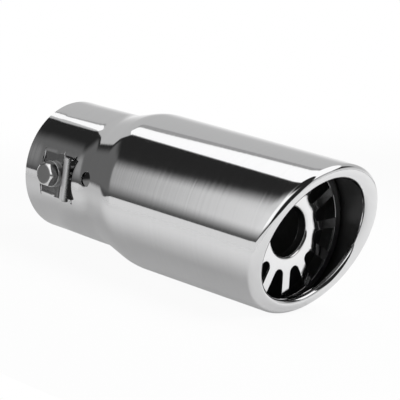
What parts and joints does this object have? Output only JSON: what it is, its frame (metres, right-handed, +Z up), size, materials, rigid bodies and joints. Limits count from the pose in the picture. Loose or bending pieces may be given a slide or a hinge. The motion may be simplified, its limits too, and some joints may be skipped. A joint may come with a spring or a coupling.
{
  "type": "exhaust tip",
  "caption": "Slash-cut exhaust tip of polished sheet steel: a necked inlet with a clamp bolt, a flare to a wider barrel with a rolled lip, and a slotted insert set back in the mouth.",
  "frame": {"origin": "centre of the inlet's end, on the tube's axis", "axes": "+X along the tube's axis from the inlet to the outlet, +Z up towards the long side of the mouth, the clamp bolt at -Y"},
  "size_m": [0.1644, 0.07, 0.07],
  "materials": {
    "shell_steel": "polished stainless sheet with a fine brushed grain round the barrel",
    "insert_steel": "polished stainless pressing",
    "bolt_steel": "bright plated steel",
    "washer_steel": "bright plated steel",
    "nut_steel": "plain steel, welded on"
  },
  "bodies": {
    "tip": {"outer_shell": "shell_steel", "insert_disc": "insert_steel", "clamp_nut": "nut_steel"},
    "washer": {"clamp_washer": "washer_steel"},
    "bolt": {"clamp_bolt": "bolt_steel"}
  },
  "joints": [
    {"name": "bolt_travel", "type": "slide", "parent": "tip", "child": "washer", "axis": [0, -1, 0], "range_m": [0, 0.01]},
    {"name": "bolt_turn", "type": "hinge", "parent": "washer", "child": "bolt", "pos_m": [0.0165, -0.02807, 0], "axis": [0, -1, 0], "range_deg": [0, 3600]}
  ],
  "couplings": [
    {"joint": "bolt_turn", "follows": "bolt_travel", "rad_per_m": 6283.2}
  ]
}
